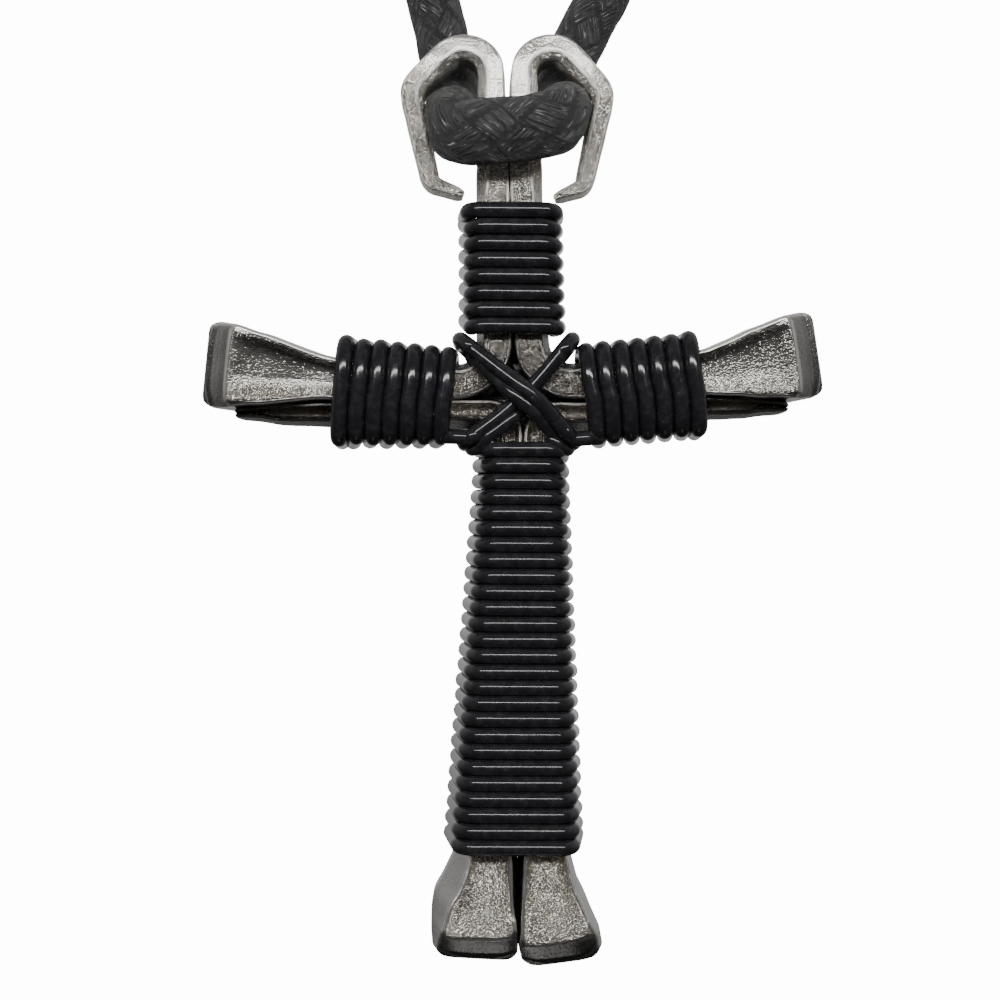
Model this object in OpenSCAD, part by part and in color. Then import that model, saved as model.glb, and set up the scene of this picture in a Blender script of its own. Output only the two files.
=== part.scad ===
/* [Nails] */
// Width of a nail's head across the face, seen from the front
head_w = 7.1; // [6.6:0.1:7.2]
// Depth of a nail's head, front to back
head_d = 5.8; // [5.4:0.1:6]
// Depth of the shanks where the wire holds them, front to back
shank_d = 4.2; // [4:0.1:4.3]
// Width of the chamfer along the inner front edge of every nail
chamfer = 0.7; // [0.2:0.05:0.8]

/* [Wire] */
// Diameter of the black wire
wire_d = 1.27; // [1:0.01:1.27]
// Space between the wire and the nails that it binds
wire_gap = 0.08; // [0.06:0.01:0.1]
// Turns round the upper limb
upper_turns = 8; // [4:1:8]
// Turns round the lower limb
lower_turns = 26; // [10:1:26]
// Turns round each arm
arm_turns = 7; // [4:1:7]

/* [Cord] */
// Diameter of the waxed neck cord
cord_d = 4; // [3:0.1:4]
// Length of the knot behind the neck
knot_l = 9; // [7:0.5:9]
// Diameter of that knot
knot_d = 7.6; // [6:0.1:7.6]

/* [Hidden] */

// Sizes are in the cross's own frame, with its origin where the four nails meet and the front towards -Y.
// The part's origin is the rest at the nape, below the knot, so everything is moved down and forwards.
nape = [0, 12, 166.2];
knot_centre = [0, 12, 170];

// A nail's section is given at rows of: distance from the head's end, width, depth and broad chamfer.
HEAD_ROWS = [
  [0, head_w - 0.4, head_d - 3, 0.2],
  [0.75, head_w, head_d - 1.6, 0.3],
  [2, head_w, head_d, 0.3],
  [2.8, head_w - 0.25, head_d, 0.3],
  [4, 6.35, head_d - 0.2, 0.3],
  [5.5, 5.8, head_d - 0.4, 0.3],
  [7.3, 4.9, head_d - 0.7, 0.3],
  [9.6, 3.85, shank_d + 0.7, 0.3],
  [12, 3.6, shank_d + 0.5, 0.3]];
// The lower right nail's head is drawn out more slimly above its foot.
SLIM_HEAD_ROWS = [
  [0, head_w - 0.7, head_d - 3, 0.2],
  [0.75, head_w - 0.25, head_d - 1.6, 0.3],
  [2, head_w - 0.2, head_d, 0.3],
  [2.5, head_w - 0.5, head_d, 0.3],
  [4.2, 5.7, head_d - 0.2, 0.3],
  [5.9, 4.87, head_d - 0.4, 0.3],
  [7.6, 4.3, head_d - 0.7, 0.3],
  [9.6, 3.7, shank_d + 0.7, 0.3],
  [12, 3.6, shank_d + 0.5, 0.3]];
// The lower left nail's head is the same one turned a little, so that its broad bevelled side shows.
TURNED_HEAD_ROWS = [
  [0, head_w - 0.5, head_d - 3, 0.2],
  [0.75, head_w, head_d - 1.6, 0.4],
  [2, head_w + 0.1, head_d, 0.8],
  [4.4, head_w - 0.1, head_d - 0.2, 1.5],
  [5.6, 6.25, head_d - 0.4, 1.6],
  [7.3, 5.35, head_d - 0.6, 1.4],
  [8.6, 4.8, head_d - 0.8, 1.1],
  [9.6, 4.1, shank_d + 0.7, 0.9],
  [12, 3.7, shank_d + 0.5, 0.8]];
SHANK_ROWS = [
  [21, 3.05, shank_d + 0.2, chamfer],
  [27, 2.9, shank_d, chamfer],
  [40, 2.7, shank_d - 0.3, chamfer],
  [47, 2.3, shank_d - 0.8, chamfer],
  [54, 2.1, shank_d - 1.2, chamfer]];
// Near the point the rows start with the distance back from the point.
POINT_ROWS = [[8, 1.8, 2.9, 0.4], [3.5, 1.58, 2.5, 0.3], [2, 1.15, 2.3, 0.3], [0.5, 0.9, 2.1, 0.2],
  [0, 0.55, 1.6, 0.1]];

// A nail's route is rows of x, z and the radius of the bend there, from the middle of its head to its point.
UPPER_LEFT = [
  [-25.4, 2.25, 0], [-14.4, 0.85, 6], [-4.8, 0.64, 4], [-1.55, 0.6, 3.1], [-1.7, 18.6, 6], [-1.85, 23.2, 4],
  [-1.85, 28.4, 2.2], [-5, 28.4, 1.7], [-8.5, 24.9, 1.4], [-6.8, 17.25, 0.9], [-4.1, 16.25, 0]];
UPPER_RIGHT = [
  [25.2, 3.1, 0], [16.4, 1.48, 6], [6.5, 0.74, 4], [1.72, 0.7, 3.2], [1.1, 17.1, 6], [0.95, 23.6, 4],
  [0.95, 28.4, 2.2], [4.1, 28.4, 1.7], [7.55, 24.6, 1.4], [5.87, 16.95, 0.9], [3.45, 16, 0]];
LOWER_LEFT = [
  [-3.15, -47.1, 0], [-3.3, -43, 4], [-2.25, -38, 8], [-0.42, -2.1, 1.5], [-4.8, -2.1, 4],
  [-14.8, -2.12, 6], [-23.1, -2.04, 0]];
LOWER_RIGHT = [
  [4.25, -47.4, 0], [3.1, -41.5, 6], [2.72, -37.5, 8], [2.12, -2.3, 1.5], [6.3, -2.3, 4],
  [16.4, -1.56, 6], [22.9, -1.52, 0]];

// A limb's wrap is rows of: place along the limb, the nails' lower and higher side there, half their depth.
UPPER_LIMB = [[14.68, -3.28, 2.85, 2.02], [5.2, -3.28, 3.12, 2.11]];
LOWER_LIMB = [[-5.25, -2, 3.4, 1.98], [-37.55, -4.56, 4.67, 2.5]];
LEFT_ARM = [[-14.29, -3.43, 3.1, 2.4], [-5.9, -3.43, 2.27, 2.25]];
RIGHT_ARM = [[15.25, -2.68, 3.5, 2.45], [6.85, -3.42, 2.6, 2.25]];
// The share of a turn's pitch that is gained over the front of an upright limb and of each arm.
level_lean = 0.04;
left_lean = 0.43;
right_lean = 0.6;

// The crossed wires' routes over the front are rows of x and z, between two corners of the limbs.
FALLING_WIRE = [[-4.34, 3.98], [-1.07, 1.35], [2.19, -1.32], [4.97, -4.42]];
RISING_WIRE = [[4.86, 3.98], [1.83, 0.33], [-0.96, -2.24], [-3.98, -4.45]];
crossing = [1.05, -0.39];

// The cord's route, from the knot's left end through both loops to its right end.
ROUTE = [
  [-4.6, 12, 170], [-28, 12, 169], [-53, 11.8, 163], [-70, 11.2, 149], [-73, 10.2, 130], [-62, 9, 111],
  [-45, 7.5, 93], [-29, 6, 75], [-17, 5, 58], [-9.8, 4.5, 44], [-7.2, 4.3, 34], [-6.5, 4.3, 29.4],
  [-5.9, 4.1, 26.4], [-5.4, 3, 24.2], [-5.07, 0.8, 23.4], [-5.07, -1.2, 22.8], [-4.7, -3.2, 21.4],
  [-2.8, -4.25, 20.7], [-0.4, -4.3, 20.6], [2, -4.25, 20.7], [3.85, -3.2, 21.4], [4.2, -1.2, 22.8],
  [4.2, 0.8, 23.4], [4.6, 3, 24.2], [5.2, 4.1, 26.4], [5.9, 4.3, 29.4], [7.7, 4.3, 34], [12.4, 4.5, 44],
  [18.5, 5, 58], [29, 6, 75], [45, 7.5, 93], [62, 9, 111], [73, 10.2, 130], [70, 11.2, 149],
  [53, 11.8, 163], [28, 12, 169], [4.6, 12, 170]];

wire_sides = 6;
cord_sides = 10;
rings_a_step = 2;
arc_step = 18;

function unit(v) = v / norm(v);
function flat(lists) = [for (part = lists) each part];
function column(rows, k) = [for (row = rows) [row[0], row[k]]];

// A bend: the points of an arc of the given radius that rounds corner b between a and c, in a plane.
function bend(a, b, c, radius) =
  let (into = unit(a - b), out = unit(c - b), opening = acos(into * out), turn = 180 - opening)
  turn < 2 ? [b] :
  let (back = radius / tan(opening / 2), centre = b + unit(into + out) * radius / sin(opening / 2),
       start = b + into * back - centre, side = sign(into[0] * out[1] - into[1] * out[0]),
       steps = max(1, ceil(turn / arc_step)))
  [for (i = [0 : steps])
    let (t = -side * turn * i / steps)
    centre + [start[0] * cos(t) - start[1] * sin(t), start[0] * sin(t) + start[1] * cos(t)]];

// A route with every corner rounded.
function rounded(rows) =
  let (p = [for (row = rows) [row[0], row[1]]], last = len(p) - 1)
  concat([p[0]], flat([for (i = [1 : last - 1]) bend(p[i - 1], p[i], p[i + 1], rows[i][2])]), [p[last]]);

// How far along a line each of its points lies.
function along(line, i = 0, sum = 0) =
  i == len(line) ? [] :
  let (here = i == 0 ? 0 : sum + norm(line[i] - line[i - 1]))
  concat([here], along(line, i + 1, here));

function sorted(v) =
  len(v) < 2 ? v :
  let (middle = v[floor(len(v) / 2)])
  concat(sorted([for (x = v) if (x < middle) x]), [middle], sorted([for (x = v) if (x > middle) x]));

// The faces of a skin over rings of n points each, closed by a cap at each end.
function skin(rings, n) =
  concat(
    [[for (k = [0 : n - 1]) k]],
    [[for (k = [n - 1 : -1 : 0]) (rings - 1) * n + k]],
    flat([for (i = [0 : rings - 2], k = [0 : n - 1])
      let (a = i * n + k, b = i * n + (k + 1) % n)
      [[a, a + n, b], [b, a + n, b + n]]]));

// The same skin with no caps, its last ring joined to its first.
function closed_skin(rings, n) =
  flat([for (i = [0 : rings - 1], k = [0 : n - 1])
    let (j = (i + 1) % rings, a = i * n + k, b = i * n + (k + 1) % n, c = j * n + k, d = j * n + (k + 1) % n)
    [[a, c, b], [b, c, d]]]);

// Across the cord or wire, the first normal carried along the line with no twist.
function carried(tangents, normal, i = 0) =
  i == len(tangents) ? [] :
  let (n = unit(normal - (normal * tangents[i]) * tangents[i]))
  concat([n], carried(tangents, n, i + 1));

module tube(line, radius, sides, normal, closed = false) {
  last = len(line) - 1;
  tangents = [for (i = [0 : last])
    closed ? unit(line[(i + 1) % (last + 1)] - line[(i + last) % (last + 1)])
           : unit(line[min(i + 1, last)] - line[max(i - 1, 0)])];
  normals = carried(tangents, normal);
  points = flat([for (i = [0 : last])
    let (n = normals[i], m = cross(tangents[i], n))
    [for (k = [0 : sides - 1]) let (a = 360 * k / sides) line[i] + radius * (cos(a) * n + sin(a) * m)]]);
  polyhedron(points, closed ? closed_skin(last + 1, sides) : skin(last + 1, sides), convexity = 10);
}

// A forged nail along its route. Its section is a rectangle with a broad chamfer at the front of its inner
// side and a small one at its other corners. inner is 1 where the inner side is to the left of the way along
// the route, and -1 to the right.
module nail(rows, inner, head_rows) {
  line = rounded(rows);
  at = along(line);
  length = at[len(at) - 1];
  profile = concat(head_rows, SHANK_ROWS, [for (row = POINT_ROWS) [length - row[0], row[1], row[2], row[3]]]);
  xs = [for (i = [0 : len(line) - 1]) [at[i], line[i][0]]];
  zs = [for (i = [0 : len(line) - 1]) [at[i], line[i][1]]];
  stations = sorted([for (t = concat(at, [for (row = profile) row[0]])) round(t * 20) / 20]);
  reach = 0.2;
  edge = 0.18;
  points = flat([for (t = stations)
    let (w = lookup(t, column(profile, 1)) / 2, d = lookup(t, column(profile, 2)) / 2,
         broad = lookup(t, column(profile, 3)),
         small = edge * min(1, w),
         before = max(0, t - reach), after = min(length, t + reach),
         way = unit([lookup(after, xs) - lookup(before, xs), lookup(after, zs) - lookup(before, zs)]),
         side = inner * [-way[1], way[0]],
         place = [lookup(t, xs), lookup(t, zs)])
    [for (c = [[w - broad, -d], [w, -d + 1.1 * d], [w, d - small], [w - small, d],
               [-w + small, d], [-w, d - small], [-w, -d + small], [-w + small, -d]])
      [place[0] + side[0] * c[0], c[1], place[1] + side[1] * c[0]]]]);
  faces = skin(len(stations), 8);
  turned = [for (f = faces) [for (i = [len(f) - 1 : -1 : 0]) f[i]]];
  polyhedron(points, inner > 0 ? turned : faces, convexity = 10);
}

// A turn of wire round a limb goes over four corners, as rows of: side (-1 low, 1 high), face (-1 front,
// 1 back), angle of its bend, and the share of the pitch gained by then, of which lean is over the front.
function turn(lean) =
  let (rest = 1 - lean, corners = [
    [-1, -1, 180, 0, 0.1 * lean], [1, -1, 270, 0.9 * lean, lean + 0.06 * rest],
    [1, 1, 0, lean + 0.42 * rest, lean + 0.48 * rest], [-1, 1, 90, lean + 0.54 * rest, lean + 0.6 * rest]])
  [for (row = corners, i = [0 : 2]) [row[0], row[1], row[2] + 45 * i, row[3] + (row[4] - row[3]) * i / 2]];

// The middle of the wire along the wrap, as [place along the limb, across it, front to back].
function coil(limb, turns, lean) =
  let (bend_r = wire_d / 2 + wire_gap, start = limb[0][0], reach = limb[1][0] - start, rows = turn(lean),
       n = len(rows))
  [for (i = [0 : (turns - 1) * n + 7])
    let (row = rows[i % n], share = min(turns - 0.95, floor(i / n) + row[3]) / (turns - 1),
         here = limb[0] + (limb[1] - limb[0]) * share, side = row[0] < 0 ? here[1] : here[2])
    [start + reach * share, side + bend_r * cos(row[2]), row[1] * here[3] + bend_r * sin(row[2])]];

module upright_wrap(limb, turns) {
  tube([for (p = coil(limb, turns, level_lean)) [p[1], p[2], p[0]]], wire_d / 2, wire_sides, [0, 0, 1]);
}

module level_wrap(limb, turns, lean) {
  tube([for (p = coil(limb, turns, lean)) [p[0], p[2], p[1]]], wire_d / 2, wire_sides, [1, 0, 0]);
}

// A point of the smooth curve through the route, between its points i and i + 1.
function smooth(route, i, u) =
  let (last = len(route) - 1, a = route[max(i - 1, 0)], b = route[i], c = route[min(i + 1, last)],
       d = route[min(i + 2, last)])
  0.5 * (2 * b + (c - a) * u + (2 * a - 5 * b + 4 * c - d) * u * u + (3 * b - a - 3 * c + d) * u * u * u);

// One of the crossed wires: a closed loop along its route over the front, and back behind the nails.
// lift is how far it stands off where the wires cross, since one of them has the other under it.
module cross_wire(route, lift) {
  flat_y = shank_d / 2 + wire_d / 2 + 3 * wire_gap;
  round_y = flat_y - 0.9;
  a = route[0];
  b = route[len(route) - 1];
  line = [for (i = [0 : 2], u = [0.2, 0.5, 0.8]) smooth(route, i, u)];
  over = [for (p = line) [p[0], flat_y + lift * max(0, 1 - pow(norm(p - crossing) / 2.6, 2)), p[1]]];
  front = [for (p = over) [p[0], -p[1], p[2]]];
  back = [for (i = [len(over) - 1 : -1 : 0]) over[i]];
  turned_b = [for (y = [-round_y, 0, round_y]) [b[0], y, b[1]]];
  turned_a = [for (y = [round_y, 0, -round_y]) [a[0], y, a[1]]];
  way = unit([b[0] - a[0], 0, b[1] - a[1]]);
  tube(concat(front, turned_b, back, turned_a), wire_d / 2, wire_sides, cross(way, [0, 1, 0]), closed = true);
}

module nail_upper_left() {
  color("silver") translate(-nape) nail(UPPER_LEFT, 1, HEAD_ROWS);
}

module nail_upper_right() {
  color("silver") translate(-nape) nail(UPPER_RIGHT, -1, HEAD_ROWS);
}

module nail_lower_left() {
  color("silver") translate(-nape) nail(LOWER_LEFT, 1, TURNED_HEAD_ROWS);
}

module nail_lower_right() {
  color("silver") translate(-nape) nail(LOWER_RIGHT, -1, SLIM_HEAD_ROWS);
}

module wrap_upper() {
  color("black") translate(-nape) upright_wrap(UPPER_LIMB, upper_turns);
}

module wrap_lower() {
  color("black") translate(-nape) upright_wrap(LOWER_LIMB, lower_turns);
}

module wrap_left_arm() {
  color("black") translate(-nape) level_wrap(LEFT_ARM, arm_turns, left_lean);
}

module wrap_right_arm() {
  color("black") translate(-nape) level_wrap(RIGHT_ARM, arm_turns, right_lean);
}

module cross_wire_under() {
  color("black") translate(-nape) cross_wire(RISING_WIRE, 0);
}

module cross_wire_over() {
  color("black") translate(-nape) cross_wire(FALLING_WIRE, wire_d + 2 * wire_gap);
}

module neck_cord() {
  steps = len(ROUTE) - 1;
  line = [for (i = [0 : steps * rings_a_step])
    smooth(ROUTE, floor(i / rings_a_step), (i % rings_a_step) / rings_a_step)];
  color("dimgray") translate(-nape) tube(line, cord_d / 2, cord_sides, [0, 0, 1]);
}

module neck_knot() {
  round_r = 1.6;
  color("dimgray") translate(knot_centre - nape) {
    rotate([0, 90, 0]) translate([0, 0, -knot_l / 2]) rotate_extrude($fn = 32) {
      square([knot_d / 2 - round_r, knot_l], center = false);
      translate([0, round_r]) square([knot_d / 2, knot_l - 2 * round_r]);
      for (z = [round_r, knot_l - round_r]) translate([knot_d / 2 - round_r, z]) circle(round_r, $fn = 32);
    }
  }
}

nail_upper_left();
nail_upper_right();
nail_lower_left();
nail_lower_right();
wrap_upper();
wrap_lower();
wrap_left_arm();
wrap_right_arm();
cross_wire_under();
cross_wire_over();
neck_cord();
neck_knot();
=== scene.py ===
# %% [markdown]
# # A cross of bent horseshoe nails on a neck cord
#
# Four forged nails are bent at a right angle and laid back to back, so that their heads end the arms and
# the foot of a cross. Black wire binds each limb and crosses over the middle. The points of the two upper
# nails curl outwards into loops, and a waxed neck cord runs through both.
#
# The solid model is loaded as a fixed frame. Every piece made here lies where its solid lies, in metres.

# %% Load the frame
import math

import bmesh
import bpy
import numpy as np
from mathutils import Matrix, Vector


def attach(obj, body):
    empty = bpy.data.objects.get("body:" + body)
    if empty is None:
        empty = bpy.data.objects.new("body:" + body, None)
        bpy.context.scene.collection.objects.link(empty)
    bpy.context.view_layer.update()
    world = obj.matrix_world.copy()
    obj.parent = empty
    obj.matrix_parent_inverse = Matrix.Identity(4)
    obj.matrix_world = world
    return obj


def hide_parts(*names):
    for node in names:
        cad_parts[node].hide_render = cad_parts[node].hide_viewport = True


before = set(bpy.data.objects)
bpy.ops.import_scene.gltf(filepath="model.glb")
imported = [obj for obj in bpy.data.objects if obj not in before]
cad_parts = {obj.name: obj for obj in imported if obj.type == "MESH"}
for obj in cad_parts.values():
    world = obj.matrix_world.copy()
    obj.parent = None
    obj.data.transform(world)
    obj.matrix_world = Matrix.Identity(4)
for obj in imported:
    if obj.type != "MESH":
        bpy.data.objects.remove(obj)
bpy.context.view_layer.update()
print("solids:", sorted(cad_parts))

# %% [markdown]
# The sizes below are easiest to read in millimetres, measured from the point where the four nails meet.
# The model's own origin is at the nape, where the cord rests, so one helper moves and scales every array.

# %% From the cross's own millimetres to the frame
NAPE = np.array([0, 12, 166.2])


def in_frame(points):
    """Millimetres from the crossing, less the place of the nape, as metres."""
    return (np.asarray(points, float) - NAPE) * 0.001


print("the crossing lies at", in_frame([0, 0, 0]))

# %% [markdown]
# The camera stands close, straight in front of the cross. So near, the wires bend visibly round the limbs'
# sides, which a distant camera would hide. It comes first because the cord's unseen length is judged by
# what this camera sees.

# %% Camera
CAMERA_DISTANCE = 122
camera_data = bpy.data.cameras.new("camera")
camera_data.lens = 52.64
camera_data.sensor_width = 36
camera_data.clip_start = 0.01
camera = bpy.data.objects.new("camera", camera_data)
camera.location = Vector(in_frame([-1.07, -CAMERA_DISTANCE, -9.18]))
camera.rotation_euler = (math.radians(90), 0, 0)
bpy.context.scene.collection.objects.link(camera)
bpy.context.scene.camera = camera
print("the camera's distance is", CAMERA_DISTANCE, "mm")

# %% [markdown]
# Most pieces here are long: a cord, a wire, a nail. Each is a grid of points, one ring after another along a
# line. A ring is a row of the array, so the whole piece is worked out at once, and one helper turns the grid
# into a mesh, with its rings joined and its ends closed.

# %% A mesh from rings
def ring_mesh(name, rings, closed=False, sharp=None):
    """rings is an array of rings, points and x, y, z. Point k of ring i is joined to point k + 1 and to the
    same two of ring i + 1. An open line gets a middle point at each end, joined to all of that ring."""
    count, around = rings.shape[:2]
    i = np.arange(count if closed else count - 1)[:, None]
    k = np.arange(around)[None, :]
    a = i * around + k
    b = i * around + (k + 1) % around
    c = ((i + 1) % count) * around + (k + 1) % around
    d = ((i + 1) % count) * around + k
    faces = np.stack([a, b, c, d], axis=-1).reshape(-1, 4).tolist()
    points = rings.reshape(-1, 3)
    if not closed:
        ends = np.stack([rings[0].mean(axis=0), rings[-1].mean(axis=0)])
        points = np.concatenate([points, ends])
        k = np.arange(around)
        first = np.full(around, count * around)
        faces += np.stack([(k + 1) % around, k, first], axis=-1).tolist()
        k = k + (count - 1) * around
        after = (k + 1 - (count - 1) * around) % around + (count - 1) * around
        faces += np.stack([k, after, first + 1], axis=-1).tolist()
    mesh = bpy.data.meshes.new(name)
    mesh.from_pydata(points.tolist(), [], faces)
    mesh.validate()
    mesh.shade_smooth()
    if sharp:
        mesh.set_sharp_from_angle(angle=math.radians(sharp))
    return mesh


def place(name, mesh, replaced):
    """The finished mesh as a piece that stands for a solid of the frame."""
    piece = bpy.data.objects.new(name, mesh)
    bpy.context.scene.collection.objects.link(piece)
    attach(piece, "root")
    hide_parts(*replaced)
    print(name, "has", len(mesh.polygons), "faces")
    return piece


def joined(name, meshes):
    """Several meshes as one."""
    gathered = bmesh.new()
    for mesh in meshes:
        gathered.from_mesh(mesh)
    whole = bpy.data.meshes.new(name)
    gathered.to_mesh(whole)
    gathered.free()
    whole.shade_smooth()
    return whole


def outward(mesh):
    """True if the faces point outwards: the volume under them, a third of point times area, is positive."""
    mesh.calc_loop_triangles()
    points = np.empty(len(mesh.vertices) * 3)
    mesh.vertices.foreach_get("co", points)
    corners = np.empty(len(mesh.loop_triangles) * 3, dtype=int)
    mesh.loop_triangles.foreach_get("vertices", corners)
    p = points.reshape(-1, 3)[corners.reshape(-1, 3)]
    return np.einsum("ij,ij->i", p[:, 0], np.cross(p[:, 1], p[:, 2])).sum() > 0


# %% [markdown]
# A tube needs a direction across its line at every ring. Where that direction is chosen afresh at each ring,
# the tube can twist suddenly, so it is carried along instead: each ring takes the last one's direction, less
# whatever of it now points along the line.

# %% Lines and the directions across them
def unit(v):
    """Each vector divided by its own length."""
    return v / np.linalg.norm(v, axis=-1, keepdims=True)


def smooth_line(route, steps, closed=False):
    """The Catmull-Rom curve through the route's points: half of (2b, plus (c - a) u, plus
    (2a - 5b + 4c - d) u squared, plus (3b - a - 3c + d) u cubed) between b and c."""
    p = np.asarray(route, float)
    if closed:
        p = np.concatenate([p[-1:], p, p[:2]])
    else:
        p = np.concatenate([p[:1], p, p[-1:]])
    a, b, c, d = (p[i:len(p) - 3 + i, None, :] for i in range(4))
    u = (np.arange(steps) / steps)[None, :, None]
    line = b + ((c - a) * u + (2 * a - 5 * b + 4 * c - d) * u ** 2 + (3 * b - a - 3 * c + d) * u ** 3) / 2
    line = line.reshape(-1, p.shape[1])
    return line if closed else np.concatenate([line, p[-1:]])


def lengths_along(line):
    """How far along the line each point lies: the running sum of the steps between points."""
    return np.concatenate([[0], np.cumsum(np.linalg.norm(np.diff(line, axis=0), axis=1))])


def even_line(line, step):
    """The same line with its points a step apart."""
    at = lengths_along(line)
    count = int(round(at[-1] / step)) + 1
    wanted = np.linspace(0, at[-1], count)
    return np.stack([np.interp(wanted, at, line[:, k]) for k in range(line.shape[1])], axis=-1)


def directions(line, first, closed=False):
    """The way along the line, and two directions across it, carried from ring to ring."""
    if closed:
        way = unit(np.roll(line, -1, axis=0) - np.roll(line, 1, axis=0))
    else:
        way = unit(np.gradient(line, axis=0))
    across = np.empty_like(way)
    last = np.asarray(first, float)
    for i, t in enumerate(way):
        last = last - t * (last @ t)
        last = last / math.sqrt(last @ last)
        across[i] = last
    return way, across, np.cross(way, across)


def tube_rings(line, across, beside, angle, radius):
    """Each point is the line's, plus the radius times (cosine of the angle across, sine beside)."""
    c = np.cos(angle)[None, :, None]
    s = np.sin(angle)[None, :, None]
    return line[:, None, :] + radius * (c * across[:, None, :] + s * beside[:, None, :])


# %% [markdown]
# ## The neck cord
#
# The real cord is a waxed round braid, 4 mm thick and nearly half a metre round. It hangs from the nape,
# comes down on both sides, passes forward through the two loops and runs across the front of the nails. It
# could be a curve with a round bevel, but a mesh shows the braid's strands in its outline, so a grid is used.
#
# The route's points are the solid's own. Inside the loops the cord lies a little nearer to the middle than
# its solid, so a small shift is added there.

# %% The cord's route
ROUTE = np.array([
    [-4.6, 12, 170], [-28, 12, 169], [-53, 11.8, 163], [-70, 11.2, 149], [-73, 10.2, 130], [-62, 9, 111],
    [-45, 7.5, 93], [-29, 6, 75], [-17, 5, 58], [-9.8, 4.5, 44], [-7.2, 4.3, 34], [-6.5, 4.3, 29.4],
    [-5.9, 4.1, 26.4], [-5.4, 3, 24.2], [-5.07, 0.8, 23.4], [-5.07, -1.2, 22.8], [-4.7, -3.2, 21.4],
    [-2.8, -4.25, 20.7], [-0.4, -4.3, 20.6], [2, -4.25, 20.7], [3.85, -3.2, 21.4], [4.2, -1.2, 22.8],
    [4.2, 0.8, 23.4], [4.6, 3, 24.2], [5.2, 4.1, 26.4], [5.9, 4.3, 29.4], [7.7, 4.3, 34], [12.4, 4.5, 44],
    [18.5, 5, 58], [29, 6, 75], [45, 7.5, 93], [62, 9, 111], [73, 10.2, 130], [70, 11.2, 149],
    [53, 11.8, 163], [28, 12, 169], [4.6, 12, 170]])
CORD_WIDTH = 4.0
cord_line = even_line(smooth_line(ROUTE, 40), 0.34)
cord_at = lengths_along(cord_line)
from_middle = cord_at - cord_at[-1] / 2
SHIFT_AT = [-34, -22, -17.5, -14.5, -12.5, -10.5, 10.5, 12.5, 14.5, 17.5, 22]
SHIFT = [0, 0.3, 0.65, 0.8, 0.45, 0, 0, -0.55, -0.95, -0.6, 0]
cord_line[:, 0] += np.interp(from_middle, SHIFT_AT, SHIFT)

# %% The cord's braid
CARRIERS = 5
BRAID_STEP = 3.6
DIVE = 0.65
ANGLES = np.arange(48) / 48 * 2 * math.pi


def braid(at, angle):
    """Strands wind both ways round the cord. u and v count the strands of each way. In a chequerboard of the
    two counts, one way lies on top. Its height is a round arch across the strand, and less, down to a share
    of 1 - DIVE, where the strand dives under the next."""
    turns = CARRIERS * angle[None, :] / (2 * math.pi)
    u = turns + at[:, None] / BRAID_STEP
    v = turns - at[:, None] / BRAID_STEP
    first_on_top = (np.floor(u) + np.floor(v)) % 2 < 1
    over = np.where(first_on_top, v, u)
    under = np.where(first_on_top, u, v)
    arch = np.sqrt(np.clip(1 - (2 * (over % 1) - 1) ** 2, 0, 1))
    clear = np.sin(math.pi * (under % 1)) ** 0.5
    strand = np.where(first_on_top, np.floor(v) * 2, np.floor(u) * 2 + 1)
    return arch * (1 - DIVE + DIVE * clear), over, under, strand


height, over, under, strand = braid(cord_at, ANGLES)
print("the braid's height goes from", height.min().round(2), "to", height.max().round(2))

# %% [markdown]
# The cord is pressed where it lies against the nails, so its section is taller there and a little thinner
# from front to back. Where it turns through the loops it bulges sideways. The stretch across the front climbs
# a little to the right.

# %% The cord's pressed shape
PRESSED_REACH = 8.2
TALLER = 0.34
THINNER = 0.04
CLIMB = 0.085
CLIMB_MIDDLE = -0.4
BULGE_AT = [4, 8, 12, 16, 24, 40]
BULGE = [0, 0.2, 0.17, 0.15, 0.15, 0.08]


def pressed(rings, line, way):
    """The press is 1 / e to the fourth power of (distance from the middle / reach). A point's offset from the
    line grows upwards and shrinks in depth by shares of it, and grows sideways by the bulge. The climb times
    the distance to the right raises the point."""
    press = np.exp(-(from_middle / PRESSED_REACH) ** 4)[:, None, None]
    off = rings - line[:, None, :]
    up = np.array([0, 0, 1.0])
    up = unit(up - way * (way @ up)[:, None])[:, None, :]
    through = np.cross(way, up[:, 0, :])[:, None, :]
    rise = (off * up).sum(axis=-1, keepdims=True)
    depth = (off * through).sum(axis=-1, keepdims=True)
    rings = rings + press * (TALLER * rise * up - THINNER * depth * through)
    rings[..., 0] += off[..., 0] * np.interp(np.abs(from_middle), BULGE_AT, BULGE)[:, None]
    rings[..., 2] += press[..., 0] * CLIMB * (rings[..., 0] - CLIMB_MIDDLE)
    return rings


print("the cord is pressed within", PRESSED_REACH, "mm of its middle")

# %% The cord as a piece
VALLEY = 0.965
STRAND_RELIEF = 0.05


def carry_fibre(mesh, across, along, number):
    """Each point carries its place across and along its strand and the strand's number, for the finish. The
    middle points of the two ends take the first and the last point's values."""
    fibre = np.stack([across, along, number], axis=-1).reshape(-1, 3)
    fibre = np.concatenate([fibre, fibre[:1], fibre[-1:]])
    mesh.attributes.new("fibre", "FLOAT_VECTOR", "POINT").data.foreach_set("vector", fibre.ravel())


cord_way, cord_across, cord_beside = directions(cord_line, [0, 0, 1])
radius = (CORD_WIDTH / 2 * (VALLEY + STRAND_RELIEF * height))[:, :, None]
rings = tube_rings(cord_line, cord_across, cord_beside, ANGLES, radius)
cord_mesh = ring_mesh("neck_cord_braid", in_frame(pressed(rings, cord_line, cord_way)))
carry_fibre(cord_mesh, over, under * 0.35, strand)
cord = place("neck_cord_braid", cord_mesh, ["neck_cord"])
print("faces outwards:", outward(cord_mesh))

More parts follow.
